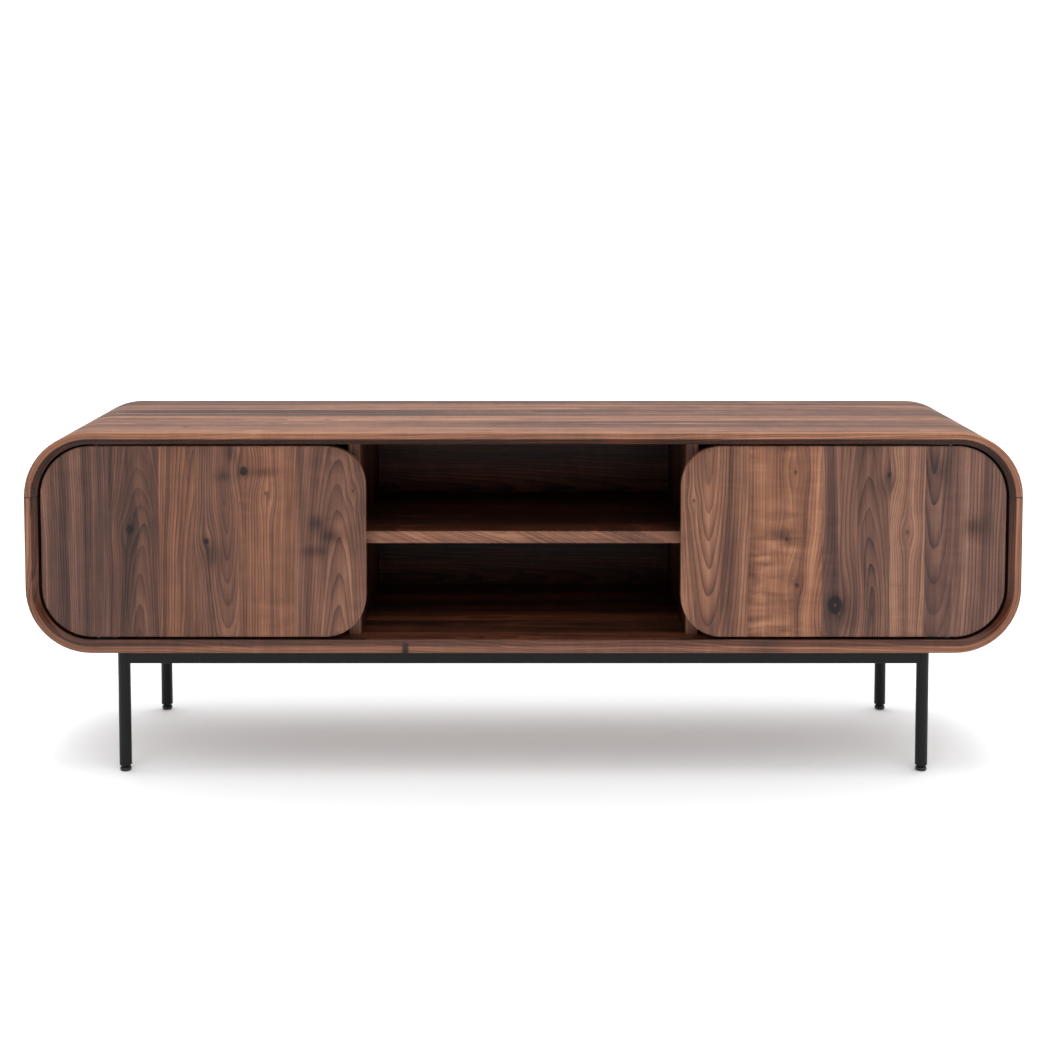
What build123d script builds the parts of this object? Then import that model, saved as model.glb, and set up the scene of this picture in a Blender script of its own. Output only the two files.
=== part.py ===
from build123d import *
import os

# Media cabinet on a steel leg frame: a walnut case with rounded corners, two pivoting doors,
# an open centre bay with a fixed shelf, and four levelling feet.
# Millimetres. +X is to the viewer's right, +Y to the back and +Z up; the origin is on the floor,
# under the middle of the case. Left and right are as seen from the front.

# ---- driving dimensions ----
WIDTH = 1600.0              # over the case
DEPTH = 400.0               # over the case
CASE_HEIGHT = 358.0         # underside to top
LEG_HEIGHT = 204.0          # floor to the case's underside
PANEL = 20.0                # case, divider, shelf and door thickness
CORNER_RADIUS = 105.0       # outer corners of the case, seen from the front
BEVEL_WIDTH = 10.0          # inner front bevel, across the rim
BEVEL_DEPTH = 8.0           # inner front bevel, along Y
ARRIS = 2.0                 # rounding of the case's outer edges
SEAM_GROOVE = 0.6           # depth of the V groove along the joint of the two shells

BACK_THICKNESS = 6.0
RABBET_WIDTH = 8.0
RABBET_DEPTH = 7.0

BAY_HALF_WIDTH = 264.5      # middle of the case to a divider's face
DIVIDER_SETBACK = 42.0      # front plane to the dividers' front edges
SHELF_SETBACK = 43.0
SHELF_HEIGHT = 170.0        # top of the centre shelf above the case's inner floor
SOFT_EDGE = 1.5             # rounding of dividers, shelves and door backs

DOOR_SETBACK = 11.6         # front plane to a door's face
DOOR_GAP = 3.5              # door to case
DOOR_INNER_EDGE = 254.3     # middle of the case to a door's free edge
DOOR_INNER_RADIUS = 66.0
DOOR_ARRIS = 2.0
PIVOT_INSET = 8.0           # pivot axis inboard of the centre of the door's corner arc

LEG_DIAMETER = 20.0
TUBE_WALL = 1.5
LEG_X = 651.0
LEG_INSET = 36.0            # case front or back plane to the leg axes
RAIL_HEIGHT = 25.0
RAIL_WIDTH = 16.0
RAIL_EDGE = 2.5
FOOT_HEIGHT = 9.5           # floor to the legs' ends, feet screwed right in
GLIDE_DIAMETER = 18.0
GLIDE_HEIGHT = 6.0

FIT = 0.05                  # radial clearance of a running fit
GLUE = 0.05                 # radial clearance of a glued dowel

# ---- derived places ----
FRONT = -DEPTH / 2
BACK = DEPTH / 2
CASE_BOTTOM = LEG_HEIGHT
CASE_TOP = LEG_HEIGHT + CASE_HEIGHT
CASE_MIDDLE = (CASE_BOTTOM + CASE_TOP) / 2
FLOOR = CASE_BOTTOM + PANEL
CEILING = CASE_TOP - PANEL
WALL = WIDTH / 2 - PANEL
INNER_RADIUS = CORNER_RADIUS - PANEL
SEAM = CASE_TOP - CORNER_RADIUS
BACK_FACE = BACK - RABBET_DEPTH
BAY_WALL = BAY_HALF_WIDTH + PANEL
SHELF_TOP = FLOOR + SHELF_HEIGHT
DOOR_FRONT = FRONT + DOOR_SETBACK
DOOR_BACK = DOOR_FRONT + PANEL
DOOR_MIDDLE_Y = DOOR_FRONT + PANEL / 2
DOOR_OUTER_EDGE = WALL - DOOR_GAP
DOOR_BOTTOM = FLOOR + DOOR_GAP
DOOR_TOP = CEILING - DOOR_GAP
DOOR_OUTER_RADIUS = INNER_RADIUS - DOOR_GAP
PIVOT_X = DOOR_OUTER_EDGE - DOOR_OUTER_RADIUS - PIVOT_INSET
LEG_RADIUS = LEG_DIAMETER / 2
LEG_Y = DEPTH / 2 - LEG_INSET
TUBE_BORE = LEG_RADIUS - TUBE_WALL

# ---- hardware ----
DOWEL_RADIUS = 4.0
SEAM_DOWEL_LENGTH = 36.0
SEAM_DOWEL_YS = (-150.0, -50.0, 50.0, 150.0)
DIVIDER_DOWEL_IN_SHELL = 10.0
DIVIDER_DOWEL_IN_PANEL = 20.0
SHELF_DOWEL_IN_DIVIDER = 9.5
SHELF_DOWEL_IN_SHELF = 20.5
PANEL_DOWEL_YS = (-100.0, 20.0, 140.0)

BACK_PANEL_PLAY = 0.5       # back panel to the rabbet, on each side
BACK_SCREW_XS = (-600.0, -300.0, 0.0, 300.0, 600.0)
BACK_SCREW_SIDE_SPACING = 100.0
BACK_SCREW_DIVIDER_SPACING = 160.0

PIVOT_PIN_RADIUS = 3.0 - FIT
PIVOT_PIN_IN_BUSH = 12.0
BUSH_RADIUS = 5.0
BUSH_LENGTH = 14.0
PIVOT_PLATE = (40.0, 14.0, 2.0)
PIVOT_PLATE_END = 7.5       # pivot axis to the plate's outer end
PIVOT_SCREW_OFFSETS = (12.0, 25.0)
PIVOT_PLATE_FLAT = 1.0      # flat left at the middle of each rounded plate end
WASHER_THICKNESS = 1.4

SCREW_RADIUS = 1.5
SCREW_HEAD_RADIUS = 3.0
SCREW_HEAD_HEIGHT = 1.5
SCREW_LENGTH = 13.0

CATCH = (14.0, 22.0, 46.0)
CATCH_GAP = 0.3
CATCH_SCREW_SPACING = 32.0
CATCH_SCREW_SETBACK = 3.0   # middle of the catch to its screws, along Y
CATCH_COUNTERBORE = 8.0
CATCH_ROUNDING = 1.2
HEAD_CLEARANCE = 0.2
STRIKE = (12.0, 1.5, 40.0)
STRIKE_SCREW_SPACING = 24.0
STRIKE_ROUNDING = 3.0

INNER_SHELF_THICKNESS = 18.0
INNER_SHELF_FRONT = FRONT + 125.0
INNER_SHELF_CLEARANCE = 0.5
PIN_RADIUS = 2.5
PIN_DEPTH = 8.0
PIN_SPACING = 32.0
PIN_YS = (-60.0, 150.0)
PIN_HEIGHT = SHELF_TOP - PANEL - PIN_RADIUS

TAB = (40.0, 25.0, 3.0)
TAB_XS = (-450.0, 0.0, 450.0)
TAB_HOLE_RADIUS = 3.3
BOLT_RADIUS = 3.0
BOLT_HEAD_RADIUS = 5.5
BOLT_HEAD_HEIGHT = 4.0
BOLT_HEAD_ROUNDING = 1.5
BOLT_LENGTH = 12.0
INSERT_RADIUS = 4.5
INSERT_LENGTH = 14.0

STEM_RADIUS = 4.0
STEM_TOP = 34.0
STEM_BOTTOM = 3.0
LEG_INSERT_LENGTH = 25.0
LEG_END_CHAMFER = 0.6
COLLAR_ACROSS_FLATS = 11.0
GLIDE_FOOT_ROUNDING = 2.5
GLIDE_TOP_ROUNDING = 1.2

SIDES = {"left": -1, "right": 1}
ENDS = {"front": -1, "rear": 1}

parts = {}


# ---- helpers ----
def slab(outline, y_front, y_back):
    """Extrude an outline drawn in X and Z from y_front to y_back."""
    return extrude(Plane.XZ.offset(-y_back) * outline, y_back - y_front)


def rounded(width, height, radius):
    """Rounded rectangle about the middle of the case."""
    return Pos(0, CASE_MIDDLE) * RectangleRounded(width, height, radius)


def block(x0, x1, y0, y1, z0, z1):
    """Box between two corners, whichever way round they are given."""
    size = (abs(x1 - x0), abs(y1 - y0), abs(z1 - z0))
    return Pos((x0 + x1) / 2, (y0 + y1) / 2, (z0 + z1) / 2) * Box(*size)


def rod(start, direction, radius, length):
    """Cylinder from a start point along a direction."""
    return extrude(Plane(origin=start, z_dir=direction) * Circle(radius), length)


def screw(point, direction):
    """Countersunk wood screw; point is on the face it is flush with, direction is inwards."""
    plane = Plane(origin=point, z_dir=direction)
    tip = plane.offset(SCREW_HEAD_HEIGHT)
    head = loft([plane * Circle(SCREW_HEAD_RADIUS), tip * Circle(SCREW_RADIUS)])
    shank = extrude(tip * Circle(SCREW_RADIUS), SCREW_LENGTH - SCREW_HEAD_HEIGHT)
    return head + shank


def mirrored(shape, side):
    """Shape modelled on the right side, for either side."""
    return shape if side > 0 else mirror(shape, about=Plane.YZ)


def group(name, solids):
    """Several separate solids kept in one node."""
    parts[name] = Compound(children=[s for shape in solids for s in shape.solids()])


# ---- fastener places, for the right side where they are mirrored ----
def seam_dowels():
    x = WIDTH / 2 - PANEL / 2
    z = SEAM - SEAM_DOWEL_LENGTH / 2
    return [((side * x, y, z), (0, 0, 1), SEAM_DOWEL_LENGTH)
            for side in SIDES.values() for y in SEAM_DOWEL_YS]


def divider_dowels():
    x = BAY_HALF_WIDTH + PANEL / 2
    length = DIVIDER_DOWEL_IN_SHELL + DIVIDER_DOWEL_IN_PANEL
    places = []
    for side in SIDES.values():
        for y in PANEL_DOWEL_YS:
            places.append(((side * x, y, FLOOR - DIVIDER_DOWEL_IN_SHELL), (0, 0, 1), length))
            places.append(((side * x, y, CEILING + DIVIDER_DOWEL_IN_SHELL), (0, 0, -1), length))
    return places


def centre_shelf_dowels():
    z = SHELF_TOP - PANEL / 2
    x = BAY_HALF_WIDTH + SHELF_DOWEL_IN_DIVIDER
    length = SHELF_DOWEL_IN_DIVIDER + SHELF_DOWEL_IN_SHELF
    return [((side * x, y, z), (-side, 0, 0), length)
            for side in SIDES.values() for y in PANEL_DOWEL_YS]


def back_panel_screws():
    y = BACK_FACE + BACK_THICKNESS
    edge = RABBET_WIDTH / 2
    places = [(x, y, z) for x in BACK_SCREW_XS for z in (FLOOR - edge, CEILING + edge)]
    upright_rows = ((WALL + edge, BACK_SCREW_SIDE_SPACING),
                    (BAY_HALF_WIDTH + PANEL / 2, BACK_SCREW_DIVIDER_SPACING))
    for x, spacing in upright_rows:
        places += [(side * x, y, CASE_MIDDLE + dz) for side in SIDES.values() for dz in (-spacing / 2, spacing / 2)]
    return places


def pivot_screws():
    y = DOOR_MIDDLE_Y
    thickness = PIVOT_PLATE[2]
    places = []
    for offset in PIVOT_SCREW_OFFSETS:
        places.append(((PIVOT_X - offset, y, FLOOR + thickness), (0, 0, -1)))
        places.append(((PIVOT_X - offset, y, CEILING - thickness), (0, 0, 1)))
    return places


def catch_centre():
    x = BAY_WALL + CATCH[0] / 2
    y = DOOR_BACK + STRIKE[1] + CATCH_GAP + CATCH[1] / 2
    return x, y, CASE_MIDDLE


def catch_screws():
    x, y, z = catch_centre()
    head_x = x + CATCH[0] / 2 - CATCH_COUNTERBORE
    return [((head_x, y + CATCH_SCREW_SETBACK, z + dz), (-1, 0, 0))
            for dz in (-CATCH_SCREW_SPACING / 2, CATCH_SCREW_SPACING / 2)]


def strike_screws():
    x = catch_centre()[0]
    return [((x, DOOR_BACK + STRIKE[1], CASE_MIDDLE + dz), (0, -1, 0))
            for dz in (-STRIKE_SCREW_SPACING / 2, STRIKE_SCREW_SPACING / 2)]


def pin_holes():
    """Shelf pin holes of the right cupboard: three heights, in the divider and the side."""
    heights = (PIN_HEIGHT - PIN_SPACING, PIN_HEIGHT, PIN_HEIGHT + PIN_SPACING)
    holes = []
    for y in PIN_YS:
        for z in heights:
            holes.append(((BAY_WALL - PIN_DEPTH, y, z), (1, 0, 0), PIN_DEPTH))
            holes.append(((WALL, y, z), (1, 0, 0), PIN_DEPTH))
    return holes


def insert_points():
    y = LEG_Y - RAIL_WIDTH / 2 - TAB[1] / 2
    return [(x, end * y, CASE_BOTTOM) for end in ENDS.values() for x in TAB_XS]


# ---- cutters shared by the pieces that meet at a fastener ----
DOWEL_HOLES = [rod(start, direction, DOWEL_RADIUS, length) for start, direction, length
               in seam_dowels() + divider_dowels() + centre_shelf_dowels()]
BACK_SCREWS = [screw(point, (0, -1, 0)) for point in back_panel_screws()]
PIVOT_SCREWS = [mirrored(screw(*place), side) for side in SIDES.values() for place in pivot_screws()]
CATCH_SCREWS = [mirrored(screw(*place), side) for side in SIDES.values() for place in catch_screws()]
PIN_HOLES = [mirrored(rod(start, direction, PIN_RADIUS, length), side)
             for side in SIDES.values() for start, direction, length in pin_holes()]
INSERT_HOLES = [rod(point, (0, 0, 1), INSERT_RADIUS, INSERT_LENGTH) for point in insert_points()]


# ---- case ----
def case_ring():
    """The closed walnut ring, before it is parted into its two shells."""
    height = CASE_HEIGHT
    outer = slab(rounded(WIDTH, height, CORNER_RADIUS), FRONT, BACK)
    outline_edges = outer.faces().sort_by(Axis.Y)[0].edges() + outer.faces().sort_by(Axis.Y)[-1].edges()
    outer = fillet(outline_edges, ARRIS)
    inner_width = WIDTH - 2 * PANEL
    inner_height = height - 2 * PANEL
    inner = slab(rounded(inner_width, inner_height, INNER_RADIUS), FRONT, BACK)
    wide = rounded(inner_width + 2 * BEVEL_WIDTH, inner_height + 2 * BEVEL_WIDTH, INNER_RADIUS + BEVEL_WIDTH)
    narrow = rounded(inner_width, inner_height, INNER_RADIUS)
    bevel = loft([Plane.XZ.offset(-FRONT) * wide, Plane.XZ.offset(-FRONT - BEVEL_DEPTH) * narrow], ruled=True)
    rabbet_outline = rounded(inner_width + 2 * RABBET_WIDTH, inner_height + 2 * RABBET_WIDTH,
                             INNER_RADIUS + RABBET_WIDTH)
    rabbet = slab(rabbet_outline, BACK_FACE, BACK)
    ring = outer - inner - bevel - rabbet
    square = SEAM_GROOVE * 2 ** 0.5
    for side in SIDES.values():
        ring -= Pos(side * WIDTH / 2, 0, SEAM) * Rot(0, 45, 0) * Box(square, DEPTH, square)
        ring -= Pos(side * (WALL + PANEL / 2), FRONT, SEAM) * Rot(45, 0, 0) * Box(PANEL, square, square)
    return ring


def case_shells():
    ring = case_ring() - DOWEL_HOLES - BACK_SCREWS - PIVOT_SCREWS - PIN_HOLES - INSERT_HOLES
    half = WIDTH / 2
    parts["top_shell"] = ring & block(-half, half, FRONT, BACK, SEAM, CASE_TOP)
    parts["bottom_shell"] = ring & block(-half, half, FRONT, BACK, CASE_BOTTOM, SEAM)


def front_rounded(x0, x1, y0, y1, z0, z1, axis):
    """A panel whose two long front edges, parallel to the axis, are rounded."""
    panel = block(x0, x1, y0, y1, z0, z1)
    edges = panel.faces().sort_by(Axis.Y)[0].edges().filter_by(axis)
    return fillet(edges, SOFT_EDGE)


def dividers():
    for name, side in SIDES.items():
        panel = front_rounded(side * BAY_HALF_WIDTH, side * BAY_WALL, FRONT + DIVIDER_SETBACK, BACK_FACE,
                              FLOOR, CEILING, Axis.Z)
        panel = panel - DOWEL_HOLES - BACK_SCREWS - CATCH_SCREWS - PIN_HOLES
        parts[f"{name}_divider"] = panel


def centre_shelf():
    panel = front_rounded(-BAY_HALF_WIDTH, BAY_HALF_WIDTH, FRONT + SHELF_SETBACK, BACK_FACE,
                          SHELF_TOP - PANEL, SHELF_TOP, Axis.X)
    parts["centre_shelf"] = panel - DOWEL_HOLES


def back_panel():
    reach = 2 * (RABBET_WIDTH - BACK_PANEL_PLAY)
    outline = rounded(WIDTH - 2 * PANEL + reach, CASE_HEIGHT - 2 * PANEL + reach, INNER_RADIUS + reach / 2)
    parts["back_panel"] = slab(outline, BACK_FACE, BACK_FACE + BACK_THICKNESS) - BACK_SCREWS
    group("back_panel_screws", BACK_SCREWS)


def inner_shelves():
    for name, side in SIDES.items():
        x0 = BAY_WALL + INNER_SHELF_CLEARANCE
        x1 = WALL - INNER_SHELF_CLEARANCE
        z0 = PIN_HEIGHT + PIN_RADIUS
        shelf = front_rounded(x0, x1, INNER_SHELF_FRONT, BACK_FACE - INNER_SHELF_CLEARANCE,
                              z0, z0 + INNER_SHELF_THICKNESS, Axis.X)
        parts[f"{name}_inner_shelf"] = mirrored(shelf, side)
        pins = []
        for y in PIN_YS:
            pins.append(rod((BAY_WALL - PIN_DEPTH, y, PIN_HEIGHT), (1, 0, 0), PIN_RADIUS, 2 * PIN_DEPTH))
            pins.append(rod((WALL - PIN_DEPTH, y, PIN_HEIGHT), (1, 0, 0), PIN_RADIUS, 2 * PIN_DEPTH))
        group(f"{name}_shelf_pins", [mirrored(pin, side) for pin in pins])


def glued_dowels():
    for name, places in (("shell_dowels", seam_dowels()), ("divider_dowels", divider_dowels()),
                         ("centre_shelf_dowels", centre_shelf_dowels())):
        group(name, [rod(start, direction, DOWEL_RADIUS - GLUE, length) for start, direction, length in places])


# ---- doors and their hardware ----
def door_blank():
    """Right door: large radius on the hinge side, smaller on the free side."""
    width = DOOR_OUTER_EDGE - DOOR_INNER_EDGE
    outline = Rectangle(width, DOOR_TOP - DOOR_BOTTOM)
    corners = outline.vertices().sort_by(Axis.X)
    outline = fillet(corners[:2], DOOR_INNER_RADIUS)
    corners = outline.vertices().group_by(Axis.X)[-1]
    outline = fillet(corners, DOOR_OUTER_RADIUS)
    centre = Pos((DOOR_OUTER_EDGE + DOOR_INNER_EDGE) / 2, (DOOR_BOTTOM + DOOR_TOP) / 2)
    door = slab(centre * outline, DOOR_FRONT, DOOR_BACK)
    door = fillet(door.faces().sort_by(Axis.Y)[0].edges(), DOOR_ARRIS)
    return fillet(door.faces().sort_by(Axis.Y)[-1].edges(), SOFT_EDGE)


def doors():
    axis_y = DOOR_MIDDLE_Y
    bush_spots = [((PIVOT_X, axis_y, DOOR_BOTTOM), (0, 0, 1)), ((PIVOT_X, axis_y, DOOR_TOP), (0, 0, -1))]
    bush_holes = [rod(start, way, BUSH_RADIUS, BUSH_LENGTH) for start, way in bush_spots]
    door = door_blank() - bush_holes - [screw(*place) for place in strike_screws()]
    pin_bores = [rod(start, way, PIVOT_PIN_RADIUS + FIT, BUSH_LENGTH) for start, way in bush_spots]
    bushes = [outer - bore for outer, bore in zip(bush_holes, pin_bores)]
    for name, side in SIDES.items():
        parts[f"{name}_door"] = mirrored(door, side)
        group(f"{name}_door_bushes", [mirrored(bush, side) for bush in bushes])


def pivots():
    length, width, thickness = PIVOT_PLATE
    y = DOOR_MIDDLE_Y
    reach = DOOR_GAP + PIVOT_PIN_IN_BUSH
    outer_end = PIVOT_X + PIVOT_PLATE_END
    plates = []
    pins = []
    for z, way in ((FLOOR, 1), (CEILING, -1)):
        plate = block(outer_end - length, outer_end, y - width / 2, y + width / 2, z, z + way * thickness)
        plate = fillet(plate.edges().filter_by(Axis.Z), (width - PIVOT_PLATE_FLAT) / 2)
        pin = rod((PIVOT_X, y, z), (0, 0, way), PIVOT_PIN_RADIUS, reach)
        plates.append(plate - pin - [screw(*place) for place in pivot_screws()])
        pins.append(pin)
    washer_plane = (PIVOT_X, y, FLOOR + thickness)
    washer = rod(washer_plane, (0, 0, 1), BUSH_RADIUS, WASHER_THICKNESS)
    washer -= rod(washer_plane, (0, 0, 1), PIVOT_PIN_RADIUS + 2 * FIT, WASHER_THICKNESS)
    for name, side in SIDES.items():
        group(f"{name}_pivot_plates", [mirrored(plate, side) for plate in plates])
        group(f"{name}_pivot_pins", [mirrored(pin, side) for pin in pins])
        parts[f"{name}_thrust_washer"] = mirrored(washer, side)
    group("pivot_plate_screws", PIVOT_SCREWS)


def catches():
    x, y, z = catch_centre()
    body = Pos(x, y, z) * Box(*CATCH)
    body = fillet(body.edges().filter_by(Axis.Y) + body.edges().filter_by(Axis.X), CATCH_ROUNDING)
    for point, way in catch_screws():
        body -= rod(point, (1, 0, 0), SCREW_HEAD_RADIUS + HEAD_CLEARANCE, CATCH_COUNTERBORE)
        body -= screw(point, way)
    strike_y = DOOR_BACK + STRIKE[1] / 2
    strike = Pos(x, strike_y, z) * Box(*STRIKE)
    strike = fillet(strike.edges().filter_by(Axis.Y), STRIKE_ROUNDING) - [screw(*place) for place in strike_screws()]
    for name, side in SIDES.items():
        parts[f"{name}_catch"] = mirrored(body, side)
        parts[f"{name}_strike_plate"] = mirrored(strike, side)
        group(f"{name}_strike_screws", [mirrored(screw(*place), side) for place in strike_screws()])
    group("catch_screws", CATCH_SCREWS)


# ---- leg frame ----
def box_tube(length, axis):
    """Rectangular steel tube about the origin, its long side along X or Y, its top at Z 0."""
    middle = Pos(0, 0, -RAIL_HEIGHT / 2)
    inner_width = RAIL_WIDTH - 2 * TUBE_WALL
    inner_height = RAIL_HEIGHT - 2 * TUBE_WALL
    outer = Box(length, RAIL_WIDTH, RAIL_HEIGHT)
    outer = fillet(outer.edges().filter_by(Axis.X), RAIL_EDGE)
    tube = middle * (outer - Box(length, inner_width, inner_height))
    return tube if axis == "x" else Rot(0, 0, 90) * tube


def leg_frame():
    leg_height = LEG_HEIGHT - FOOT_HEIGHT
    legs = []
    for end_name, end in ENDS.items():
        for side_name, side in SIDES.items():
            base = (side * LEG_X, end * LEG_Y, FOOT_HEIGHT)
            leg = rod(base, (0, 0, 1), LEG_RADIUS, leg_height)
            legs.append(leg)
            tube = chamfer(leg.faces().sort_by(Axis.Z)[0].edges(), LEG_END_CHAMFER)
            tube -= rod(base, (0, 0, 1), TUBE_BORE, leg_height)
            parts[f"{end_name}_{side_name}_leg"] = tube
    long_rails = []
    for end_name, end in ENDS.items():
        rail = Pos(0, end * LEG_Y, CASE_BOTTOM) * box_tube(2 * LEG_X, "x")
        parts[f"{end_name}_rail"] = rail - legs
        y = end * LEG_Y
        long_rails.append(block(-LEG_X, LEG_X, y - RAIL_WIDTH / 2, y + RAIL_WIDTH / 2,
                                CASE_BOTTOM - RAIL_HEIGHT, CASE_BOTTOM))
    for side_name, side in SIDES.items():
        rail = Pos(side * LEG_X, 0, CASE_BOTTOM) * box_tube(2 * LEG_Y, "y")
        parts[f"{side_name}_rail"] = rail - legs - long_rails


def frame_fixings():
    tabs = []
    bolts = []
    inserts = []
    for x, y, z in insert_points():
        plate = Pos(x, y, z - TAB[2] / 2) * Box(*TAB)
        tabs.append(plate - rod((x, y, z - TAB[2]), (0, 0, 1), TAB_HOLE_RADIUS, TAB[2]))
        head = rod((x, y, z - TAB[2] - BOLT_HEAD_HEIGHT), (0, 0, 1), BOLT_HEAD_RADIUS, BOLT_HEAD_HEIGHT)
        head = fillet(head.faces().sort_by(Axis.Z)[0].edges(), BOLT_HEAD_ROUNDING)
        bolts.append(head + rod((x, y, z - TAB[2]), (0, 0, 1), BOLT_RADIUS, TAB[2] + BOLT_LENGTH))
        sleeve = rod((x, y, z), (0, 0, 1), INSERT_RADIUS, INSERT_LENGTH)
        inserts.append(sleeve - rod((x, y, z), (0, 0, 1), BOLT_RADIUS, INSERT_LENGTH))
    group("mounting_tabs", tabs)
    group("mounting_bolts", bolts)
    group("threaded_inserts", inserts)


def feet():
    for end_name, end in ENDS.items():
        for side_name, side in SIDES.items():
            name = f"{end_name}_{side_name}"
            x = side * LEG_X
            y = end * LEG_Y
            plug = rod((x, y, FOOT_HEIGHT), (0, 0, 1), TUBE_BORE, LEG_INSERT_LENGTH)
            plug -= rod((x, y, FOOT_HEIGHT), (0, 0, 1), STEM_RADIUS + FIT, LEG_INSERT_LENGTH)
            parts[f"{name}_leg_insert"] = plug
            stem = rod((x, y, STEM_BOTTOM), (0, 0, 1), STEM_RADIUS, STEM_TOP - STEM_BOTTOM)
            collar_outline = RegularPolygon(COLLAR_ACROSS_FLATS / 2, 6, major_radius=False)
            collar = Pos(x, y, GLIDE_HEIGHT) * extrude(collar_outline, FOOT_HEIGHT - GLIDE_HEIGHT)
            parts[f"{name}_foot_stem"] = stem + collar
            glide = rod((x, y, 0), (0, 0, 1), GLIDE_DIAMETER / 2, GLIDE_HEIGHT)
            glide = fillet(glide.faces().sort_by(Axis.Z)[0].edges(), GLIDE_FOOT_ROUNDING)
            glide = fillet(glide.faces().sort_by(Axis.Z)[-1].edges(), GLIDE_TOP_ROUNDING)
            glide -= rod((x, y, STEM_BOTTOM), (0, 0, 1), STEM_RADIUS, GLIDE_HEIGHT - STEM_BOTTOM)
            parts[f"{name}_glide"] = glide


def main():
    case_shells()
    dividers()
    centre_shelf()
    back_panel()
    inner_shelves()
    glued_dowels()
    doors()
    pivots()
    catches()
    leg_frame()
    frame_fixings()
    feet()
    os.makedirs("parts", exist_ok=True)
    for name, shape in parts.items():
        export_step(shape, f"parts/{name}.step")
    print(len(parts), "nodes")


main()
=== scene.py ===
"""Looks of the media cabinet: walnut, powder-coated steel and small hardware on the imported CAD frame.

The shapes are all CAD. This script gives every node its material and sets the floor, lights and camera.
Lengths are in metres, in the frame of the CAD: x to the right, y to the back, z up.
"""

import math
from collections import namedtuple

import bpy
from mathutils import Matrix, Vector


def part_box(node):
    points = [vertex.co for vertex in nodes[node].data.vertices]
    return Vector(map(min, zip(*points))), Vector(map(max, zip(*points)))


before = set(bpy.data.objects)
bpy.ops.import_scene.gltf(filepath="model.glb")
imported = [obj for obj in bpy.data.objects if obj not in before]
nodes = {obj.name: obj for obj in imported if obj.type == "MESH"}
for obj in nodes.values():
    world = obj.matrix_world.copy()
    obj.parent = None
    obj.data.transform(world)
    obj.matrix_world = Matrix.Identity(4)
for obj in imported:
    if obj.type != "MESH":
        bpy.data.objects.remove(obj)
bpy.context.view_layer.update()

# ---------------------------------------------------------------- places taken from the frame

case_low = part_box("bottom_shell")[0]
case_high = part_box("top_shell")[1]
SEAM_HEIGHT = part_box("top_shell")[0].z
HALF_WIDTH = case_high.x
FRONT = case_low.y
DEPTH = case_high.y - case_low.y
CORNER_RADIUS = case_high.z - SEAM_HEIGHT
CORNER_X = HALF_WIDTH - CORNER_RADIUS
TOP_CORNER_Z = SEAM_HEIGHT
BOTTOM_CORNER_Z = case_low.z + CORNER_RADIUS
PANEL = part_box("centre_shelf")[1].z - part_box("centre_shelf")[0].z
DOOR_EDGE_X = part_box("right_door")[0].x

# The inner front edge of the case is a bevel, and behind it is the reveal that the doors close into.
BEVEL_WIDTH = 0.010
BEVEL_END = FRONT + 0.008
REVEAL_END = FRONT + 0.016
ARRIS = 0.002

# How softly the shading of one place gives way to the next, in metres.
CRISP_FADE = 0.0008
REVEAL_FADE = 0.001
SOFT_FADE = 0.002
DOOR_EDGE_FADE = 0.003


# ---------------------------------------------------------------- node graphs


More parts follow.
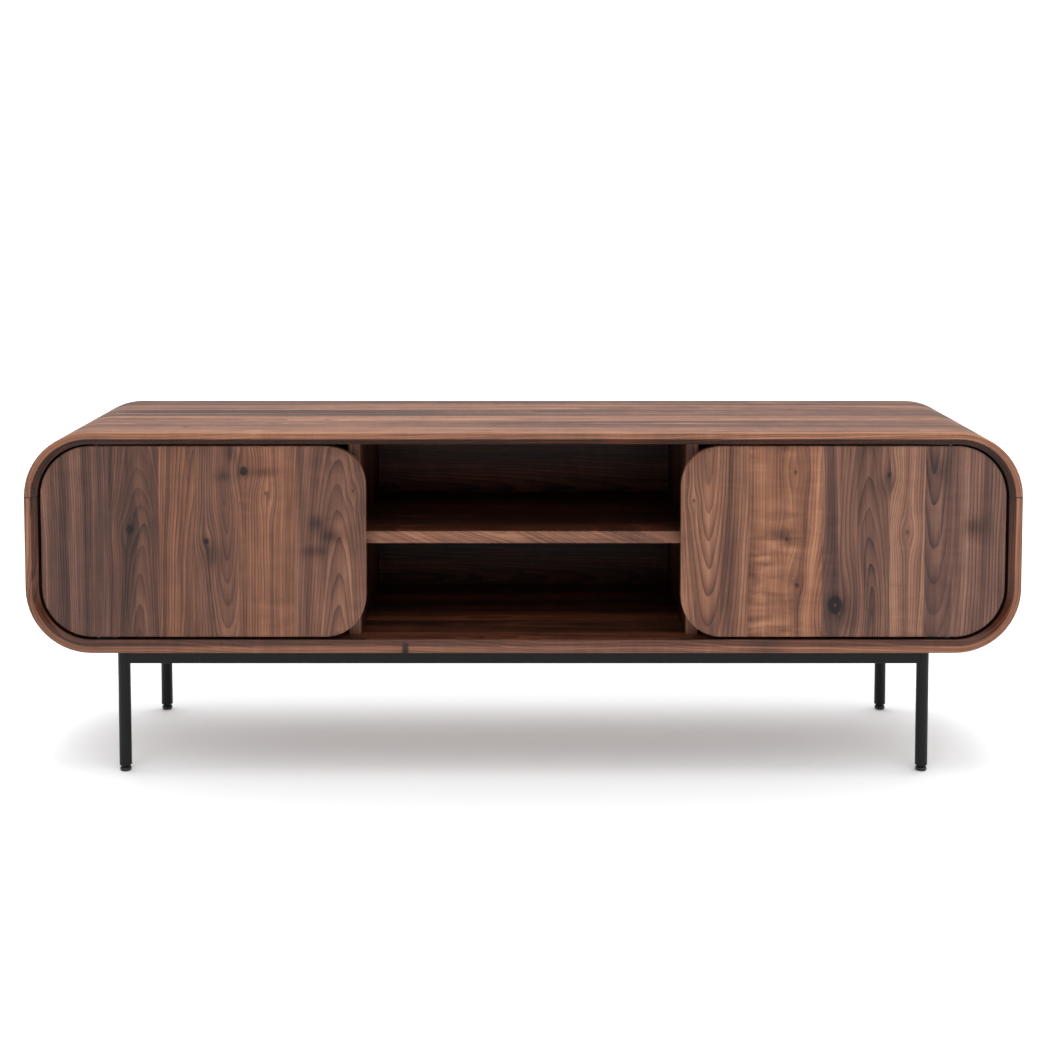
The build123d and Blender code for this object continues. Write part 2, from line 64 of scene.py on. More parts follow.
class Graph:
    """The node tree of a material or a world, built by short calls. A value is a socket or a number."""

    def __init__(self, owner):
        self.owner = owner
        owner.use_nodes = True
        self.tree = owner.node_tree
        self.tree.nodes.clear()
        self.object_place = None

    def node(self, kind, **settings):
        made = self.tree.nodes.new(kind)
        for key, value in settings.items():
            setattr(made, key, value)
        return made

    def plug(self, socket, value):
        if isinstance(value, bpy.types.NodeSocket):
            self.tree.links.new(value, socket)
        else:
            socket.default_value = value

    def plug_colour(self, socket, colour):
        self.plug(socket, colour if isinstance(colour, bpy.types.NodeSocket) else (*colour, 1.0))

    def math(self, operation, *values):
        made = self.node("ShaderNodeMath", operation=operation)
        for socket, value in zip(made.inputs, values):
            self.plug(socket, value)
        return made.outputs[0]

    def add(self, a, b):
        return self.math("ADD", a, b)

    def sub(self, a, b):
        return self.math("SUBTRACT", a, b)

    def mul(self, a, b):
        return self.math("MULTIPLY", a, b)

    def square(self, a):
        return self.math("MULTIPLY", a, a)

    def above(self, value, limit):
        """How far value is above limit, and 0 below it."""
        return self.math("MAXIMUM", self.sub(value, limit), 0.0)

    def smooth(self, value, low, high):
        """0 at low to 1 at high, with soft ends."""
        made = self.node("ShaderNodeMapRange", interpolation_type="SMOOTHSTEP")
        for socket, number in zip(made.inputs, (value, low, high, 0.0, 1.0)):
            self.plug(socket, number)
        return made.outputs[0]

    def past(self, value, start, fade):
        """0 up to start, then rising softly to 1 over fade."""
        return self.smooth(value, start, start + fade)

    def combine(self, x, y, z):
        made = self.node("ShaderNodeCombineXYZ")
        for socket, value in zip(made.inputs, (x, y, z)):
            self.plug(socket, value)
        return made.outputs[0]

    def separate(self, vector):
        made = self.node("ShaderNodeSeparateXYZ")
        self.plug(made.inputs[0], vector)
        return tuple(made.outputs)

    def place(self):
        """x, y and z in the row frame at rest. They stay with the object as it moves."""
        if self.object_place is None:
            made = self.node("ShaderNodeTexCoord")
            self.object_place = self.separate(made.outputs["Object"])
        return self.object_place

    def noise(self, x, y, z, detail=2.0, roughness=0.5, distortion=0.0):
        """Soft noise around 0, within about -0.5 to 0.5. Its cells are one unit of x, y and z."""
        made = self.node("ShaderNodeTexNoise", noise_dimensions="3D")
        self.plug(made.inputs["Vector"], self.combine(x, y, z))
        made.inputs["Scale"].default_value = 1.0
        made.inputs["Detail"].default_value = detail
        made.inputs["Roughness"].default_value = roughness
        made.inputs["Distortion"].default_value = distortion
        return self.sub(made.outputs["Fac"], 0.5)

    def stretched_noise(self, place, cells, offset=0.0, **settings):
        """Noise with its own number of cells to a metre along each axis of place."""
        x, y, z = [self.mul(value, count) for value, count in zip(place, cells)]
        return self.noise(x, y, self.add(z, offset), **settings)

    def even_noise(self, cells, detail=2.0):
        """Noise with that many cells to a metre, the same along x, y and z."""
        return self.stretched_noise(self.place(), (cells, cells, cells), detail=detail)

    def chance(self, number):
        """An even chance from 0 to 1 that holds for one whole number."""
        made = self.node("ShaderNodeTexWhiteNoise", noise_dimensions="1D")
        self.plug(made.inputs["W"], number)
        return made.outputs["Value"]

    def bell(self, *offsets):
        """1 where every offset is 0, falling to 0 over about 2 units."""
        total = self.square(offsets[0])
        for offset in offsets[1:]:
            total = self.add(total, self.square(offset))
        return self.math("EXPONENT", self.mul(total, -1.0))

    def ramp(self, value, stops):
        made = self.node("ShaderNodeValToRGB")
        elements = made.color_ramp.elements
        while len(elements) < len(stops):
            elements.new(1.0)
        for element, (position, colour) in zip(elements, stops):
            element.position = position
            element.color = (*colour, 1.0)
        self.plug(made.inputs[0], value)
        return made.outputs[0]

    def mix(self, factor, a, b, blend_type="MIX"):
        made = self.node("ShaderNodeMix", data_type="RGBA", blend_type=blend_type)
        self.plug(made.inputs[0], factor)
        self.plug_colour(made.inputs[6], a)
        self.plug_colour(made.inputs[7], b)
        return made.outputs[2]

    def pick(self, value, edges, vectors):
        """The vector of the board that value lies in. edges are where each board after the first begins."""
        chosen = vectors[0]
        for edge, before, after in zip(edges, vectors, vectors[1:]):
            step = self.node("ShaderNodeVectorMath", operation="MULTIPLY_ADD")
            inside = self.math("GREATER_THAN", value, edge)
            self.plug(step.inputs[0], self.combine(inside, inside, inside))
            step.inputs[1].default_value = [b - a for a, b in zip(before, after)]
            self.plug(step.inputs[2], chosen)
            chosen = step.outputs[0]
        return self.separate(chosen)

    def surface(self, colour, roughness, bump=None, bump_depth=0.0, **sockets):
        shader = self.node("ShaderNodeBsdfPrincipled")
        self.plug_colour(shader.inputs["Base Color"], colour)
        self.plug(shader.inputs["Roughness"], roughness)
        for socket, value in sockets.items():
            shader.inputs[socket.replace("_", " ")].default_value = value
        if bump is not None:
            relief = self.node("ShaderNodeBump")
            relief.inputs["Strength"].default_value = 1.0
            relief.inputs["Distance"].default_value = bump_depth
            self.plug(relief.inputs["Height"], bump)
            self.plug(shader.inputs["Normal"], relief.outputs[0])
        out = self.node("ShaderNodeOutputMaterial")
        self.tree.links.new(shader.outputs[0], out.inputs[0])
        return self.owner


def material_graph(name):
    return Graph(bpy.data.materials.new(name))


# ---------------------------------------------------------------- walnut

# One board of a glued-up panel. start is where it begins across the grain. Its growth rings circle a
# line, the pith, that lies pith below the face at height middle, under centre, and comes nearer by
# slope per metre along the grain. A positive slope makes arches that point along the grain.
# ring is the width of a growth ring. tone is light or dark, warmth orange or grey, figure the curl.
Board = namedtuple("Board", "start centre pith slope middle ring tone warmth figure")

# A knot: its place along and across the grain, its radius, how far it bends the grain and how dark it is.
Knot = namedtuple("Knot", "along across radius bend dark")

# A dark stain without bent grain: place along and across, half sizes along and across, and depth of tone.
Stain = namedtuple("Stain", "along across length width dark")

WALNUT_STOPS = (
    (0.00, (0.012, 0.007, 0.006)),
    (0.25, (0.046, 0.022, 0.017)),
    (0.50, (0.125, 0.056, 0.038)),
    (0.75, (0.245, 0.115, 0.074)),
    (1.00, (0.400, 0.215, 0.140)),
)
WARM_TINT = (1.10, 0.97, 0.82)
GREY_TINT = (0.92, 1.00, 1.12)
SHADOW_TINT = (0.84, 0.50, 0.28)
SHADOW_TINT_FULL = 0.4      # the darkening at which the shadow tint is full

# Noise cells to a metre along, across and into the wood.
WANDER_CELLS = (3.2, 9.0, 9.0)
RIPPLE_CELLS = (14.0, 55.0, 55.0)
CURL_CELLS = (62.0, 15.0, 0.0)
CURL_PLACE_CELLS = (7.0, 12.0, 0.0)
MOTTLE_CELLS = (16.0, 28.0, 0.0)

# Noise cells to a metre across, along and into the wood.
BROAD_CELLS = (62.0, 1.7, 62.0)
FIBRE_CELLS = (420.0, 9.0, 420.0)
PORE_CELLS = (1500.0, 120.0, 1500.0)

WANDER = 0.018              # how far the rings stray, in metres from one end of the noise to the other
RIPPLE = 0.0024
BAND_RINGS = 0.33           # bands of tone to a ring
BAND_CHANGE = 0.8           # changes of a band to a metre along the grain
BOARD_SEED = 3.7            # what sets one board's noise apart from the next board's
RING_SEED = 11.0
CURL_SEED = 5.0
MOTTLE_SEED = 9.0
LATE_WOOD_POWER = 2.4       # a ring is light for most of its width and dark at its end
FAINTEST_LINE = 0.2         # the faintest ring's dark line, as a share of the darkest one's
PORE_NOISE = (0.10, 0.22)   # the noise at which pores begin, and at which they are full
CURLY_NOISE = (-0.12, 0.2)
FLAT_CURL = 0.25            # the curl left where the wood isn't curly
PORE_DEPTH = 0.00012

ROUGHNESS = 0.50
FIBRE_ROUGHER = 0.16
PORE_ROUGHER = 0.10

# How much each feature adds to the shade, where 0 to 1 is the whole ramp.
BASE_TONE = 0.09
BROAD_WEIGHT = 0.62
BAND_WEIGHT = 0.60
FIBRE_WEIGHT = 0.40
MOTTLE_WEIGHT = 0.20
RING_TONE_WEIGHT = 0.16
CURL_WEIGHT = 0.75
LINE_WEIGHT = -0.38
PORE_WEIGHT = -0.10

KNOT_BEND_STRETCH = 1.9     # the grain bends that many times further along than across
KNOT_PUSH = 0.86            # share of the way that the grain is pushed out from a knot
KNOT_STRETCH = 1.25
KNOT_RINGS = 34.0
KNOT_RING_DARKER = 0.14
KNOT_DARKER = 0.55
HEART_LIGHTER = 0.75

# How much the painted shade darkens and the painted highlight lightens these places, and how much glossier
# the bevel is.
INNER_PAINTED_SHADE = 0.25
TOP_BEVEL_PAINTED_SHADE = 0.56
BOTTOM_BEVEL_PAINTED_SHADE = 0.26
BEVEL_GLOSS = 0.26
REVEAL_PAINTED_SHADOW = 0.60
SEAM_PAINTED_SHADE = 0.42
SEAM_WIDTH = 0.0008
ARRIS_PAINTED_HIGHLIGHT = 0.36
DOOR_EDGE_PAINTED_HIGHLIGHT = 0.34


def bent_round(g, along, across, knots):
    """The place across the grain after the knots push the grain aside, and how deep in a knot it is."""
    bent = across
    core = 0.0
    for knot in knots:
        reach = knot.radius * knot.bend
        side = g.sub(bent, knot.across)
        length = g.mul(g.sub(along, knot.along), 1 / (reach * KNOT_BEND_STRETCH))
        near = g.bell(length, g.mul(side, 1 / reach))
        bent = g.sub(bent, g.mul(g.mul(side, near), KNOT_PUSH))
        inner_length = g.mul(g.sub(along, knot.along), 1 / (knot.radius * KNOT_STRETCH))
        inner = g.bell(inner_length, g.mul(g.sub(across, knot.across), 1 / knot.radius))
        core = g.math("MAXIMUM", core, g.mul(inner, knot.dark))
    return bent, core


def knot_darkness(g, core):
    """A knot's dark disc with its own rings, less the pale heart of the largest ones."""
    disc = g.add(g.mul(g.smooth(core, 0.30, 0.62), 0.6), g.mul(core, 0.4))
    rings = g.math("SINE", g.mul(core, KNOT_RINGS))
    disc = g.mul(disc, g.add(g.mul(rings, KNOT_RING_DARKER), KNOT_DARKER))
    return g.sub(disc, g.mul(g.smooth(core, 0.94, 0.99), HEART_LIGHTER))


def stain_darkness(g, along, across, stains, mottle):
    """The stains' darkness, broken up by the mottle."""
    total = 0.0
    for stain in stains:
        length = g.mul(g.sub(along, stain.along), 1 / stain.length)
        width = g.mul(g.sub(across, stain.across), 1 / stain.width)
        total = g.add(total, g.mul(g.bell(length, width), stain.dark))
    return g.mul(total, g.add(g.mul(mottle, 0.8), 0.5))


def curl_of(g, place, seed, figure):
    """Bands of light across the grain, in the places where the wood is curly."""
    bands = g.stretched_noise(place, CURL_CELLS, g.add(seed, CURL_SEED), detail=2.0, distortion=0.6)
    curly = g.smooth(g.stretched_noise(place, CURL_PLACE_CELLS, seed), *CURLY_NOISE)
    return g.mul(g.mul(bands, figure), g.add(curly, FLAT_CURL))


def walnut(name, place, boards, knots=(), stains=(), shading=None):
    """Satin-varnished walnut. place gives the way along, across and into the board at each point.
    shading, where it is given, gives the painted shade that darkens the wood there, less any painted
    highlight, and how much glossier the wood is there.
    """
    g = material_graph(name)
    along, across, depth = place(g)
    edges = [board.start for board in boards[1:]]
    centre, pith, slope = g.pick(across, edges, [(b.centre, b.pith, b.slope) for b in boards])
    seeded = [(b.middle, b.ring, BOARD_SEED * i) for i, b in enumerate(boards)]
    middle, ring, seed = g.pick(across, edges, seeded)
    tone, warmth, figure = g.pick(across, edges, [(b.tone, b.warmth, b.figure) for b in boards])

    bent, core = bent_round(g, along, across, knots)
    below = g.add(g.add(pith, depth), g.mul(slope, g.sub(along, middle)))
    radius = g.math("SQRT", g.add(g.square(g.sub(bent, centre)), g.square(below)))
    straight = (along, across, depth)
    wander = g.stretched_noise(straight, WANDER_CELLS, seed, detail=1.0)
    ripple = g.stretched_noise(straight, RIPPLE_CELLS, seed, detail=1.0)
    radius = g.add(radius, g.add(g.mul(wander, WANDER), g.mul(ripple, RIPPLE)))
    count = g.math("DIVIDE", radius, ring)
    through_ring = g.math("FRACT", count)
    ring_tone = g.chance(g.add(g.math("FLOOR", count), g.mul(seed, RING_SEED)))
    late_wood = g.math("POWER", through_ring, LATE_WOOD_POWER)
    line = g.mul(late_wood, g.add(g.mul(ring_tone, 1.0 - FAINTEST_LINE), FAINTEST_LINE))

    grain = (bent, along, depth)
    broad = g.stretched_noise(grain, BROAD_CELLS, seed, detail=3.0)
    band = g.noise(g.mul(count, BAND_RINGS), seed, g.mul(along, BAND_CHANGE), detail=2.0)
    fibre = g.stretched_noise(grain, FIBRE_CELLS, seed, detail=4.0, roughness=0.62)
    pores = g.smooth(g.stretched_noise(grain, PORE_CELLS, detail=1.0), *PORE_NOISE)
    pores = g.mul(pores, g.sub(1.0, g.mul(through_ring, 0.6)))
    mottle = g.stretched_noise(straight, MOTTLE_CELLS, g.add(seed, MOTTLE_SEED), detail=3.0)

    features = (
        (broad, BROAD_WEIGHT),
        (band, BAND_WEIGHT),
        (fibre, FIBRE_WEIGHT),
        (mottle, MOTTLE_WEIGHT),
        (g.sub(ring_tone, 0.5), RING_TONE_WEIGHT),
        (line, LINE_WEIGHT),
        (curl_of(g, straight, seed, figure), CURL_WEIGHT),
        (pores, PORE_WEIGHT),
    )
    shade = g.add(tone, BASE_TONE)
    for feature, weight in features:
        shade = g.add(shade, g.mul(feature, weight))
    # The painted shade and painted highlight from shading go into the shade here; SHADOW_TINT makes the
    # painted shade redder.
    darker, gloss = shading(g, across, depth) if shading else (0.0, 0.0)
    for loss in (knot_darkness(g, core), stain_darkness(g, along, across, stains, mottle), darker):
        shade = g.sub(shade, loss)

    colour = g.ramp(shade, WALNUT_STOPS)
    tint = g.mix(g.add(warmth, g.mul(broad, 0.5)), GREY_TINT, WARM_TINT)
    colour = g.mix(1.0, colour, tint, blend_type="MULTIPLY")
    redder = g.mix(g.smooth(darker, 0.0, SHADOW_TINT_FULL), (1.0, 1.0, 1.0), SHADOW_TINT)
    colour = g.mix(1.0, colour, redder, blend_type="MULTIPLY")
    roughness = g.add(g.add(ROUGHNESS, g.mul(fibre, FIBRE_ROUGHER)), g.mul(pores, PORE_ROUGHER))
    return g.surface(
        colour,
        g.sub(roughness, gloss),
        bump=g.sub(g.mul(fibre, 0.35), pores),
        bump_depth=PORE_DEPTH,
        Specular_IOR_Level=0.22,
        Coat_Weight=0.06,
        Coat_Roughness=0.24,
    )


def panel_axes(along, across, depth, face):
    """A flat panel's place function, from the axes along, across and into the wood and where its face is."""
    order = ["xyz".index(axis) for axis in (along, across, depth)]

    def place(g):
        found = [g.place()[i] for i in order]
        return found[0], found[1], g.math("ABSOLUTE", g.sub(g.math("ABSOLUTE", found[2]), abs(face)))

    return place


def painted_shade_beyond(axis, start):
    """Painted shade for the dim inside of the open bay and cupboards: darker where that axis is past start.
    """

    def shading(g, across, depth):
        way = g.place()["xyz".index(axis)]
        return g.mul(g.past(way, start, SOFT_FADE), INNER_PAINTED_SHADE), 0.0

    return shading


def case_shading(g, across, depth):
    """Painted light on the case: painted shade on its inner face and on its glossier bevel, a painted shadow
    on the reveal that the doors close into, a painted highlight on the arris along the top, and painted
    shade on the line where the two halves meet.
    """
    x, y, z = g.place()
    inside = g.smooth(depth, PANEL * 0.93, PANEL * 0.98)
    # Painted shade on the inner face of the case behind the bevel.
    inner = g.mul(inside, g.past(across, BEVEL_END, SOFT_FADE))

    # Painted shadow: the reveal beside the doors, just behind the bevel, is painted near black.
    past_bevel = g.past(across, BEVEL_END, CRISP_FADE)
    before_reveal_end = g.sub(1.0, g.past(across, REVEAL_END, REVEAL_FADE))
    beside_bay = g.past(g.math("ABSOLUTE", x), DOOR_EDGE_X, DOOR_EDGE_FADE)
    reveal = g.mul(g.mul(g.mul(inside, past_bevel), before_reveal_end), beside_bay)

    # Painted shade on the bevel, darkest along the top; the bevel is also glossier.
    past_rim = g.past(depth, PANEL - BEVEL_WIDTH - CRISP_FADE / 2, CRISP_FADE)
    bevel = g.mul(g.past(across, FRONT + CRISP_FADE / 2, CRISP_FADE), past_rim)
    bevel = g.mul(bevel, g.sub(1.0, past_bevel))
    height = g.smooth(z, BOTTOM_CORNER_Z, case_high.z - PANEL)
    bevel_painted_shade = g.add(g.mul(height, TOP_BEVEL_PAINTED_SHADE - BOTTOM_BEVEL_PAINTED_SHADE), BOTTOM_BEVEL_PAINTED_SHADE)

    # Painted shade along the groove where the two halves meet.
    seam = g.bell(g.mul(g.sub(z, SEAM_HEIGHT), 1 / SEAM_WIDTH))
    # Painted highlight along the front arris of the top.
    arris = g.sub(1.0, g.smooth(g.add(g.sub(across, FRONT), depth), ARRIS * 0.5, ARRIS * 1.1))
    arris = g.mul(arris, g.smooth(z, case_high.z - CORNER_RADIUS * 0.4, case_high.z - CORNER_RADIUS * 0.1))

    darker = g.mul(arris, -ARRIS_PAINTED_HIGHLIGHT)
    for zone, amount in (
        (inner, INNER_PAINTED_SHADE),
        (bevel, bevel_painted_shade),
        (seam, SEAM_PAINTED_SHADE),
        (reveal, REVEAL_PAINTED_SHADOW),
    ):
        darker = g.add(darker, g.mul(zone, amount))
    return darker, g.mul(bevel, BEVEL_GLOSS)


def door_shading(g, across, depth):
    """A painted highlight on the rounding round a door's face."""
    return g.mul(g.smooth(depth, ARRIS * 0.08, ARRIS * 0.35), -DOOR_EDGE_PAINTED_HIGHLIGHT), 0.0


def shell_axes(corner_z, upward):
    """The way round the case, across it and into the wood, so the grain turns the corners with it."""

    def place(g):
        x, y, z = g.place()
        side = g.math("SIGN", x)
        out = g.above(g.math("ABSOLUTE", x), CORNER_X)
        rise = g.mul(g.sub(z, corner_z), upward)
        up = g.math("MAXIMUM", rise, 0.0)
        down = g.math("MAXIMUM", g.mul(rise, -1.0), 0.0)
        turned = g.math("ARCTAN2", out, g.math("MAXIMUM", up, 1e-5))
        reach = g.math("SQRT", g.add(g.square(out), g.square(up)))
        flat = g.math("MINIMUM", g.math("ABSOLUTE", x), CORNER_X)
        way = g.add(g.add(flat, g.mul(turned, CORNER_RADIUS)), down)
        return g.mul(way, side), y, g.sub(CORNER_RADIUS, reach)

    return place


def strips(start, end, widths, tones, warmths, rings, slopes, piths, figure=0.15, middle=0.0):
    """Boards side by side from start to end. The lists repeat as needed; widths are shares of the whole."""
    boards = []
    edge = start
    for i, share in enumerate(widths):
        width = (end - start) * share / sum(widths)
        boards.append(
            Board(
                edge,
                edge + width * (0.35 + 0.3 * (i % 2)),
                piths[i % len(piths)],
                slopes[i % len(slopes)],
                middle,
                rings[i % len(rings)],
                tones[i % len(tones)],
                warmths[i % len(warmths)],
                figure,
            )
        )
        edge += width
    return boards


def door_material():
    """Both doors: boards that stand upright, left door first, then the right door from x = 0."""
    boards = [
        Board(-0.80, -0.840, 0.050, 0.03, 0.38, 0.0034, 0.46, 0.25, 0.10),
        Board(-0.666, -0.620, 0.013, 0.10, 0.25, 0.0038, 0.47, 0.50, 0.10),
        Board(-0.586, -0.520, 0.060, 0.02, 0.38, 0.0032, 0.55, 0.85, 0.15),
        Board(-0.529, -0.479, 0.014, -0.10, 0.36, 0.0042, 0.48, 0.55, 0.12),
        Board(-0.459, -0.340, 0.040, 0.03, 0.38, 0.0044, 0.61, 0.90, 0.40),
        Board(-0.369, -0.299, 0.018, 0.09, 0.24, 0.0042, 0.50, 0.55, 0.20),
        Board(0.00, 0.299, 0.014, -0.085, 0.42, 0.0052, 0.59, 0.70, 0.20),
        Board(0.362, 0.560, 0.060, 0.04, 0.38, 0.0054, 0.67, 0.95, 1.15),
        Board(0.481, 0.640, 0.050, -0.05, 0.38, 0.0046, 0.58, 0.30, 0.25),
        Board(0.509, 0.555, 0.014, 0.11, 0.36, 0.0050, 0.54, 0.35, 0.15),
        Board(0.590, 0.720, 0.060, 0.02, 0.38, 0.0034, 0.70, 0.40, 0.35),
        Board(0.646, 0.660, 0.016, -0.09, 0.46, 0.0054, 0.57, 0.15, 0.20),
    ]
    knots = [
        Knot(0.403, -0.633, 0.0060, 3.8, 0.85),
        Knot(0.384, -0.510, 0.0050, 3.8, 0.70),
        Knot(0.498, -0.449, 0.0070, 3.6, 0.90),
        Knot(0.462, -0.414, 0.0045, 3.6, 0.55),
        Knot(0.466, -0.274, 0.0035, 3.5, 0.50),
        Knot(0.450, 0.274, 0.0030, 3.5, 0.60),
        Knot(0.496, 0.437, 0.0045, 3.6, 0.55),
        Knot(0.387, 0.424, 0.0045, 3.4, 0.50),
        Knot(0.312, 0.441, 0.0045, 3.6, 0.55),
        Knot(0.280, 0.503, 0.0125, 3.4, 1.00),
        Knot(0.492, 0.588, 0.0045, 3.8, 0.60),
        Knot(0.399, 0.618, 0.0045, 3.6, 0.50),
    ]
    stains = [
        Stain(0.530, -0.470, 0.020, 0.007, 0.50),
        Stain(0.496, -0.415, 0.008, 0.024, 0.40),
        Stain(0.489, -0.482, 0.010, 0.016, 0.35),
        Stain(0.360, -0.500, 0.020, 0.016, 0.40),
        Stain(0.412, -0.334, 0.012, 0.012, 0.60),
        Stain(0.392, -0.306, 0.012, 0.022, 0.60),
        Stain(0.368, -0.335, 0.009, 0.020, 0.50),
        Stain(0.330, -0.624, 0.120, 0.013, 0.22),
        Stain(0.392, 0.424, 0.014, 0.018, 0.45),
        Stain(0.478, 0.586, 0.020, 0.012, 0.40),
        Stain(0.270, 0.520, 0.030, 0.020, 0.30),
        Stain(0.407, 0.726, 0.016, 0.020, 0.50),
        Stain(0.500, 0.668, 0.024, 0.016, 0.45),
        Stain(0.380, 0.496, 0.160, 0.010, 0.26),
        Stain(0.330, 0.556, 0.090, 0.022, 0.22),
    ]
    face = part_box("left_door")[0].y
    return walnut("walnut_door", panel_axes("z", "x", "y", face), boards, knots, stains, door_shading)


def case_boards(front_tone):
    """The boards of the case, which run round it. The front one shows on the rim too."""
    return strips(
        FRONT,
        FRONT + DEPTH,
        widths=(0.9, 1.2, 1.0, 1.3, 0.9, 1.1),
        tones=(front_tone, 0.54, 0.70, 0.48, 0.68, 0.54),
        warmths=(0.90, 0.65, 0.85, 0.60, 0.85, 0.70),
        rings=(0.0034, 0.0030, 0.0036),
        slopes=(0.022, -0.030, 0.018, -0.024),
        piths=(0.030, 0.022, 0.040),
        figure=0.25,
    )


def case_materials():
    top_knots = [
        Knot(-0.552, -0.137, 0.0060, 4.0, 0.85),
        Knot(-0.33, -0.050, 0.0045, 4.0, 0.70),
        Knot(0.47, 0.080, 0.0050, 4.0, 0.60),
        Knot(0.98, -0.060, 0.0050, 4.0, 0.60),
        Knot(-1.02, 0.070, 0.0050, 4.0, 0.60),
    ]
    top_stains = [
        Stain(0.17, -0.196, 0.045, 0.008, -0.35),
        Stain(-0.10, 0.026, 1.600, 0.004, -0.42),
        Stain(0.10, -0.094, 1.500, 0.004, -0.42),
        Stain(-0.20, -0.140, 0.900, 0.003, -0.30),
        Stain(-0.25, 0.020, 0.220, 0.012, 0.25),
        Stain(0.35, -0.080, 0.260, 0.010, 0.22),
    ]
    bottom_knots = [Knot(-0.19, -0.200, 0.0050, 3.6, 0.80)]
    bottom_stains = [
        Stain(0.39, -0.198, 0.030, 0.010, 0.35),
        Stain(-0.62, -0.190, 0.300, 0.030, 0.12),
    ]
    top = walnut(
        "walnut_case_top",
        shell_axes(TOP_CORNER_Z, 1.0),
        case_boards(front_tone=0.72),
        top_knots,
        top_stains,
        case_shading,
    )
    bottom = walnut(
        "walnut_case_bottom",
        shell_axes(BOTTOM_CORNER_Z, -1.0),
        case_boards(front_tone=0.66),
        bottom_knots,
        bottom_stains,
        case_shading,
    )
    return top, bottom


def inside_material(name, place, start, end, middle, shading, first_slope=0.035):
    """A shelf, divider or back, of four boards between start and end."""
    boards = strips(
        start,
        end,
        widths=(0.7, 1.3, 1.0, 1.2),
        tones=(0.60, 0.48, 0.58, 0.50),
        warmths=(0.70, 0.55, 0.80),
        rings=(0.0036, 0.0031),
        slopes=(first_slope, -0.045, 0.035, -0.030),
        piths=(0.024, 0.040),
        figure=0.25,
        middle=middle,
    )
    return walnut(name, place, boards, shading=shading)


# ---------------------------------------------------------------- the other materials


def beech_material():
    g = material_graph("beech")
    fibre = g.stretched_noise(g.place(), (600.0, 40.0, 600.0), detail=3.0)
    fleck = g.smooth(g.even_noise(900.0), 0.12, 0.2)
    shade = g.sub(g.add(0.5, fibre), g.mul(fleck, 0.25))
    colour = g.ramp(shade, ((0.0, (0.36, 0.22, 0.12)), (0.5, (0.58, 0.40, 0.24)), (1.0, (0.72, 0.54, 0.36))))
    return g.surface(colour, g.add(0.62, g.mul(fibre, 0.2)), bump=fibre, bump_depth=0.0001)


def powder_coat_material():
    """Satin black powder coat: an even black with a very fine orange peel."""
    g = material_graph("black_steel")
    peel = g.even_noise(900.0)
    cloud = g.even_noise(22.0, detail=3.0)
    colour = g.ramp(g.add(0.5, cloud), ((0.2, (0.0050, 0.0050, 0.0058)), (0.8, (0.0090, 0.0088, 0.0092))))
    roughness = g.add(g.add(0.42, g.mul(cloud, 0.14)), g.mul(peel, 0.06))
    return g.surface(colour, roughness, bump=peel, bump_depth=0.00006, Specular_IOR_Level=0.20)


def metal_material(name, dark, light, roughness, brushed):
    """Bare or plated metal, with brush marks that run round x and y and dull patches."""
    g = material_graph(name)
    marks = g.stretched_noise(g.place(), (120.0, 120.0, brushed), detail=3.0)
    cloud = g.even_noise(160.0)
    colour = g.ramp(g.add(g.add(0.5, marks), cloud), ((0.15, dark), (0.85, light)))
    rough = g.add(g.add(roughness, g.mul(marks, 0.16)), g.mul(cloud, 0.12))
    return g.surface(colour, rough, bump=marks, bump_depth=0.00003, Metallic=1.0)


def plastic_material(name, dark, light, roughness, grain):
    """Moulded plastic with a fine spark-eroded grain."""
    g = material_graph(name)
    speck = g.even_noise(grain)
    cloud = g.even_noise(60.0)
    colour = g.ramp(g.add(0.5, cloud), ((0.2, dark), (0.8, light)))
    return g.surface(colour, g.add(roughness, g.mul(speck, 0.2)), bump=speck, bump_depth=0.00005)


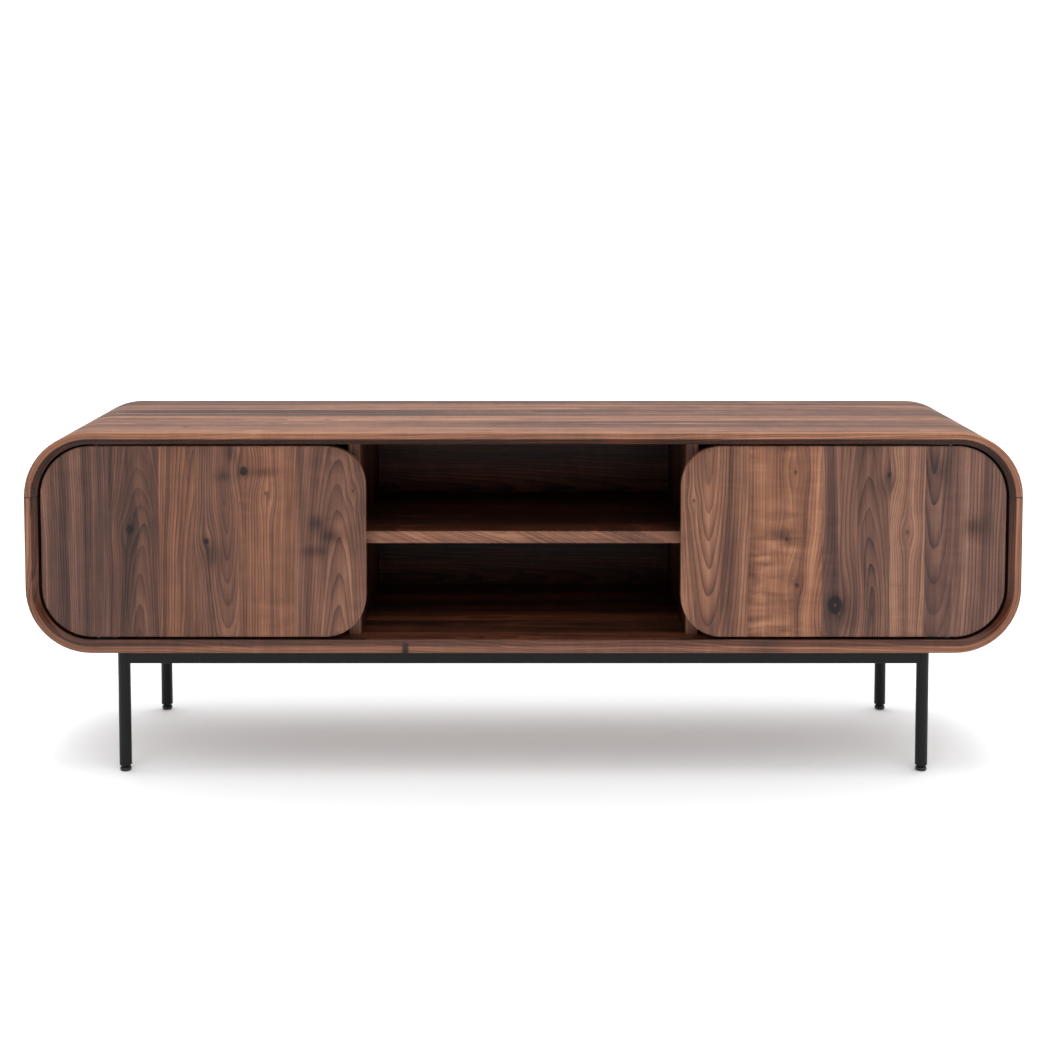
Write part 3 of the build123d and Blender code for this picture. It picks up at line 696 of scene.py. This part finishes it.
def dress():
    """Gives every CAD node its material."""
    top, bottom = case_materials()
    step_in = 0.001             # past a panel's front edge
    shelf_low, shelf_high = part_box("centre_shelf")
    back_low, back_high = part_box("back_panel")
    divider_low, divider_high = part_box("left_divider")
    shelf = inside_material(
        "walnut_shelf",
        panel_axes("x", "y", "z", shelf_high.z),
        shelf_low.y,
        shelf_high.y,
        shelf_low.x * 0.4,
        painted_shade_beyond("y", shelf_low.y + step_in),
        first_slope=-0.38,
    )
    # The back panel carries the painted shade of the bay all over, on its rear face too.
    back = inside_material(
        "walnut_back",
        panel_axes("x", "z", "y", back_low.y),
        back_low.z,
        back_high.z,
        back_low.x * 0.3,
        painted_shade_beyond("z", 0.0),
    )
    divider = inside_material(
        "walnut_divider",
        panel_axes("z", "y", "x", divider_high.x),
        divider_low.y,
        divider_high.y,
        divider_low.z,
        painted_shade_beyond("y", divider_low.y + step_in),
    )
    door = door_material()
    steel = powder_coat_material()
    plated = metal_material("plated_steel", (0.42, 0.42, 0.41), (0.66, 0.66, 0.64), 0.30, 900.0)
    brass = metal_material("brass", (0.50, 0.34, 0.13), (0.82, 0.62, 0.30), 0.24, 1600.0)
    black_plastic = plastic_material(
        "black_plastic", (0.012, 0.012, 0.013), (0.022, 0.022, 0.023), 0.55, 1400.0
    )
    nylon = plastic_material("nylon", (0.70, 0.68, 0.62), (0.80, 0.78, 0.72), 0.42, 700.0)
    beech = beech_material()
    # The first word that a node's name holds decides its material, so the order matters.
    material_words = (
        (plated, ("screws", "shelf_pins", "pivot_pins", "strike_plate", "mounting_bolts")),
        (beech, ("dowels",)),
        (brass, ("door_bushes", "threaded_inserts")),
        (nylon, ("thrust_washer",)),
        (black_plastic, ("catch", "leg_insert", "glide")),
        (steel, ("pivot_plates", "foot_stem", "rail", "leg", "mounting_tabs")),
        (top, ("top_shell",)),
        (bottom, ("bottom_shell",)),
        (shelf, ("centre_shelf", "inner_shelf")),
        (back, ("back_panel",)),
        (divider, ("divider",)),
        (door, ("_door",)),
    )
    for name, node in nodes.items():
        material = next(m for m, words in material_words if any(word in name for word in words))
        node.data.materials.clear()
        node.data.materials.append(material)


# ---------------------------------------------------------------- stage, light and camera

FLOOR_RADIUS = 40.0
FLOOR_SIDES = 96
FLOOR_CLOUDS = 1.3          # cells to a metre

# The sky's strength, and the share of it that reflections lose.
SKY_FRONT = 0.16
SKY_BACK = 1.45
SKY_TOP = 0.60
SKY_LOST_IN_GLOSS = 0.62


def build_floor():
    """A round pale floor, far wider than any view."""
    turns = [2 * math.pi * i / FLOOR_SIDES for i in range(FLOOR_SIDES)]
    rim = [(FLOOR_RADIUS * math.cos(t), FLOOR_RADIUS * math.sin(t), 0.0) for t in turns]
    mesh = bpy.data.meshes.new("floor")
    mesh.from_pydata(rim, [], [tuple(range(FLOOR_SIDES))])
    floor = bpy.data.objects.new("floor", mesh)
    bpy.context.scene.collection.objects.link(floor)
    g = material_graph("floor_paint")
    cloud = g.even_noise(FLOOR_CLOUDS, detail=3.0)
    colour = g.ramp(g.add(0.5, cloud), ((0.0, (0.91, 0.93, 0.94)), (1.0, (0.94, 0.96, 0.97))))
    mesh.materials.append(g.surface(colour, 0.85, Specular_IOR_Level=0.1))


def build_sky():
    """White all round to the eye. As light it is dimmer in front, as in a studio with a dark far end."""
    world = bpy.data.worlds.new("studio")
    bpy.context.scene.world = world
    g = Graph(world)
    x, y, z = g.separate(g.node("ShaderNodeTexCoord").outputs["Generated"])
    level = g.add(g.mul(g.smooth(y, -0.4, 0.4), SKY_BACK - SKY_FRONT), SKY_FRONT)
    level = g.add(level, g.mul(g.smooth(z, 0.1, 0.9), SKY_TOP))
    ray = g.node("ShaderNodeLightPath").outputs
    level = g.mul(level, g.sub(1.0, g.mul(ray["Is Glossy Ray"], SKY_LOST_IN_GLOSS)))
    light = g.node("ShaderNodeBackground")
    g.plug_colour(light.inputs["Color"], (1.0, 1.0, 1.0))
    g.plug(light.inputs["Strength"], g.math("MAXIMUM", level, ray["Is Camera Ray"]))
    out = g.node("ShaderNodeOutputWorld")
    g.plug(out.inputs[0], light.outputs[0])


def build_sun(name, azimuth, elevation, strength, spread, gloss_only=False):
    """A soft far light. Azimuth 0 is the front and grows to the right; spread is its width in degrees."""
    lamp = bpy.data.lights.new(name, "SUN")
    lamp.energy = strength
    lamp.angle = math.radians(spread)
    found = bpy.data.objects.new(name, lamp)
    found.visible_diffuse = not gloss_only
    found.rotation_euler = (math.radians(90.0 - elevation), 0.0, math.radians(azimuth))
    bpy.context.scene.collection.objects.link(found)


CAMERA_PLACE = (0.001, FRONT - 2.724, 0.964)
CAMERA_TILT_DOWN = 3.77
CAMERA_LENS = 59.08
CAMERA_SENSOR = 36.0
CAMERA_SHIFT = -0.22


def build_camera():
    """A camera at the front, a little above the top, shifted so that the cabinet sits low in the picture."""
    lens = bpy.data.cameras.new("camera")
    lens.sensor_width = CAMERA_SENSOR
    lens.lens = CAMERA_LENS
    lens.shift_y = CAMERA_SHIFT
    lens.clip_end = 3 * FLOOR_RADIUS
    camera = bpy.data.objects.new("camera", lens)
    camera.location = CAMERA_PLACE
    camera.rotation_euler = (math.radians(90.0 - CAMERA_TILT_DOWN), 0.0, 0.0)
    bpy.context.scene.collection.objects.link(camera)
    bpy.context.scene.camera = camera


dress()
build_floor()
build_sky()
build_sun("key", azimuth=0.0, elevation=84.5, strength=0.50, spread=24.0)
build_sun("fill", azimuth=7.0, elevation=50.0, strength=1.15, spread=60.0)
build_sun("glint", azimuth=84.0, elevation=41.0, strength=1.6, spread=12.0, gloss_only=True)
build_camera()
bpy.context.scene.view_settings.view_transform = "Standard"

bpy.context.view_layer.update()
